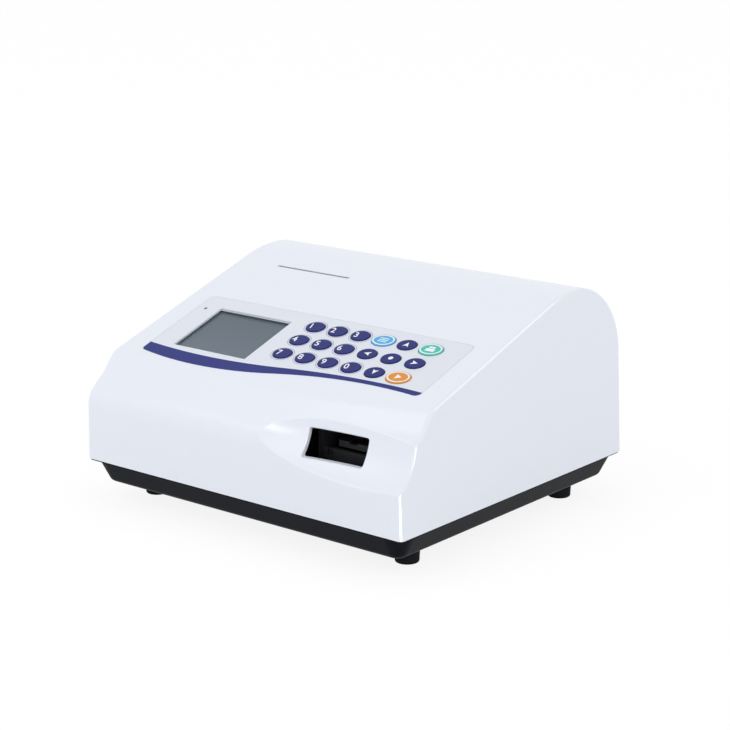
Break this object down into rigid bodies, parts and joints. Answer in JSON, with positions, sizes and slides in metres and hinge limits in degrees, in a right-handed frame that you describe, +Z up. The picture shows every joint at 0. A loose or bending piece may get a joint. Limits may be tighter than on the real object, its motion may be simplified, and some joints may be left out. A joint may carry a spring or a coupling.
{
  "type": "urine analyzer",
  "caption": "Bench urine analyzer: sloping white case with display, oval keys, a scooped front port for a strip tray and a slot for its built-in printer, on a black tray with feet.",
  "frame": {"origin": "on the ground under the middle of the cover's footprint", "axes": "+X to the right seen from the front, the front faces -Y, +Z up"},
  "size_m": [0.27, 0.24, 0.149],
  "materials": {
    "white_abs": "satin",
    "black_abs": "satin",
    "black_rubber": "matt",
    "steel": "satin",
    "overlay_sheet": "satin",
    "clear_window": "polished",
    "lamp_lens": "polished",
    "key_navy": "satin",
    "key_light_blue": "satin",
    "key_green": "satin",
    "key_orange": "satin",
    "board_laminate": "satin",
    "component_black": "matt",
    "component_mixed": "satin",
    "cable_grey": "satin",
    "display_glass": "polished",
    "panel_aluminium": "brushed",
    "nickel_shell": "polished",
    "roller_rubber": "matt",
    "gear_nylon": "satin",
    "pinion_brass": "machined",
    "motor_can": "satin",
    "heat_sink": "satin",
    "thermal_paper": "matt"
  },
  "bodies": {
    "case": {"top_cover": "white_abs", "bottom_tray": "black_abs", "feet": "black_rubber", "foot_screws": "steel", "case_screws": "steel", "keypad_overlay": "overlay_sheet", "lcd_window": "clear_window", "status_led": "lamp_lens", "key_switches": "component_black", "keypad_board": "board_laminate", "lcd_module": "display_glass", "main_board": "board_laminate", "board_chips": "component_black", "board_screws": "steel", "flat_cables": "cable_grey", "power_supply": "component_mixed", "rear_panel": "panel_aluminium", "rear_panel_screws": "steel", "mains_inlet": "black_abs", "power_switch_housing": "black_abs", "serial_connector": "nickel_shell", "usb_port": "nickel_shell", "transport_frame": "black_abs", "guide_rods": "steel", "tray_motor": "motor_can", "optical_head": "black_abs", "sensor_board": "board_laminate", "printer_frame": "black_abs", "print_head": "heat_sink", "printer_motor": "motor_can", "paper_spindle": "black_abs", "door_hinge_pins": "steel"},
    "rocker": {"power_rocker": "black_abs"},
    "carriage": {"tray_carriage": "black_abs"},
    "strip": {"strip_tray": "black_abs"},
    "pinion": {"tray_pinion": "pinion_brass"},
    "platen": {"platen_roller": "roller_rubber", "platen_gear": "gear_nylon"},
    "idler": {"idler_gear": "gear_nylon"},
    "motor_gear": {"printer_motor_gear": "gear_nylon"},
    "roll": {"paper_roll": "thermal_paper"},
    "door": {"paper_door": "white_abs"},
    "key_1_cap": {"key_1": "key_navy"},
    "key_2_cap": {"key_2": "key_navy"},
    "key_3_cap": {"key_3": "key_navy"},
    "key_4_cap": {"key_4": "key_navy"},
    "key_5_cap": {"key_5": "key_navy"},
    "key_6_cap": {"key_6": "key_navy"},
    "key_7_cap": {"key_7": "key_navy"},
    "key_8_cap": {"key_8": "key_navy"},
    "key_9_cap": {"key_9": "key_navy"},
    "key_0_cap": {"key_0": "key_navy"},
    "key_left_cap": {"key_left": "key_navy"},
    "key_right_cap": {"key_right": "key_navy"},
    "key_up_cap": {"key_up": "key_navy"},
    "key_down_cap": {"key_down": "key_navy"},
    "key_ok_cap": {"key_ok": "key_navy"},
    "key_menu_cap": {"key_menu": "key_light_blue"},
    "key_print_cap": {"key_print": "key_green"},
    "key_start_cap": {"key_start": "key_orange"}
  },
  "joints": [
    {"name": "key_1_press", "type": "slide", "parent": "case", "child": "key_1_cap", "axis": [0, 0.3206, -0.9472], "range_m": [0, 0.0005], "stiffness_N_per_m": 600, "springref_m": -0.0002},
    {"name": "key_2_press", "type": "slide", "parent": "case", "child": "key_2_cap", "axis": [0, 0.3206, -0.9472], "range_m": [0, 0.0005], "stiffness_N_per_m": 600, "springref_m": -0.0002},
    {"name": "key_3_press", "type": "slide", "parent": "case", "child": "key_3_cap", "axis": [0, 0.3206, -0.9472], "range_m": [0, 0.0005], "stiffness_N_per_m": 600, "springref_m": -0.0002},
    {"name": "key_4_press", "type": "slide", "parent": "case", "child": "key_4_cap", "axis": [0, 0.3206, -0.9472], "range_m": [0, 0.0005], "stiffness_N_per_m": 600, "springref_m": -0.0002},
    {"name": "key_5_press", "type": "slide", "parent": "case", "child": "key_5_cap", "axis": [0, 0.3206, -0.9472], "range_m": [0, 0.0005], "stiffness_N_per_m": 600, "springref_m": -0.0002},
    {"name": "key_6_press", "type": "slide", "parent": "case", "child": "key_6_cap", "axis": [0, 0.3206, -0.9472], "range_m": [0, 0.0005], "stiffness_N_per_m": 600, "springref_m": -0.0002},
    {"name": "key_7_press", "type": "slide", "parent": "case", "child": "key_7_cap", "axis": [0, 0.3206, -0.9472], "range_m": [0, 0.0005], "stiffness_N_per_m": 600, "springref_m": -0.0002},
    {"name": "key_8_press", "type": "slide", "parent": "case", "child": "key_8_cap", "axis": [0, 0.3206, -0.9472], "range_m": [0, 0.0005], "stiffness_N_per_m": 600, "springref_m": -0.0002},
    {"name": "key_9_press", "type": "slide", "parent": "case", "child": "key_9_cap", "axis": [0, 0.3206, -0.9472], "range_m": [0, 0.0005], "stiffness_N_per_m": 600, "springref_m": -0.0002},
    {"name": "key_0_press", "type": "slide", "parent": "case", "child": "key_0_cap", "axis": [0, 0.3206, -0.9472], "range_m": [0, 0.0005], "stiffness_N_per_m": 600, "springref_m": -0.0002},
    {"name": "key_left_press", "type": "slide", "parent": "case", "child": "key_left_cap", "axis": [0, 0.3206, -0.9472], "range_m": [0, 0.0005], "stiffness_N_per_m": 600, "springref_m": -0.0002},
    {"name": "key_right_press", "type": "slide", "parent": "case", "child": "key_right_cap", "axis": [0, 0.3206, -0.9472], "range_m": [0, 0.0005], "stiffness_N_per_m": 600, "springref_m": -0.0002},
    {"name": "key_up_press", "type": "slide", "parent": "case", "child": "key_up_cap", "axis": [0, 0.3206, -0.9472], "range_m": [0, 0.0005], "stiffness_N_per_m": 600, "springref_m": -0.0002},
    {"name": "key_down_press", "type": "slide", "parent": "case", "child": "key_down_cap", "axis": [0, 0.3206, -0.9472], "range_m": [0, 0.0005], "stiffness_N_per_m": 600, "springref_m": -0.0002},
    {"name": "key_ok_press", "type": "slide", "parent": "case", "child": "key_ok_cap", "axis": [0, 0.3206, -0.9472], "range_m": [0, 0.0005], "stiffness_N_per_m": 600, "springref_m": -0.0002},
    {"name": "key_menu_press", "type": "slide", "parent": "case", "child": "key_menu_cap", "axis": [0, 0.3206, -0.9472], "range_m": [0, 0.0005], "stiffness_N_per_m": 600, "springref_m": -0.0002},
    {"name": "key_print_press", "type": "slide", "parent": "case", "child": "key_print_cap", "axis": [0, 0.3206, -0.9472], "range_m": [0, 0.0005], "stiffness_N_per_m": 600, "springref_m": -0.0002},
    {"name": "key_start_press", "type": "slide", "parent": "case", "child": "key_start_cap", "axis": [0, 0.3206, -0.9472], "range_m": [0, 0.0005], "stiffness_N_per_m": 600, "springref_m": -0.0002},
    {"name": "rocker_tilt", "type": "hinge", "parent": "case", "child": "rocker", "pos_m": [0.067, 0.11, 0.062], "axis": [-1, 0, 0], "range_deg": [0, 16]},
    {"name": "carriage_slide", "type": "slide", "parent": "case", "child": "carriage", "axis": [0, -1, 0], "range_m": [0, 0.05]},
    {"name": "strip_pull", "type": "slide", "parent": "carriage", "child": "strip", "axis": [0, -1, 0], "range_m": [0, 0.06]},
    {"name": "pinion_spin", "type": "hinge", "parent": "case", "child": "pinion", "pos_m": [0.086, -0.034, 0.052], "axis": [1, 0, 0], "range_deg": [0, 358.2]},
    {"name": "platen_spin", "type": "hinge", "parent": "case", "child": "platen", "pos_m": [-0.062, 0.03897, 0.12983], "axis": [1, 0, 0], "continuous": true},
    {"name": "idler_spin", "type": "hinge", "parent": "case", "child": "idler", "pos_m": [-0.025, 0.04311, 0.11438], "axis": [1, 0, 0], "continuous": true},
    {"name": "motor_gear_spin", "type": "hinge", "parent": "case", "child": "motor_gear", "pos_m": [-0.025, 0.03133, 0.10758], "axis": [1, 0, 0], "continuous": true},
    {"name": "roll_spin", "type": "hinge", "parent": "case", "child": "roll", "pos_m": [-0.062, 0.082, 0.076], "axis": [1, 0, 0], "continuous": true},
    {"name": "door_hinge", "type": "hinge", "parent": "case", "child": "door", "pos_m": [-0.062, 0.11657, 0.0506], "axis": [-1, 0, 0], "range_deg": [0, 90]}
  ],
  "couplings": [
    {"joint": "pinion_spin", "follows": "carriage_slide", "rad_per_m": 125},
    {"joint": "idler_spin", "follows": "platen_spin", "ratio": -0.66667},
    {"joint": "motor_gear_spin", "follows": "platen_spin", "ratio": 1.6}
  ]
}
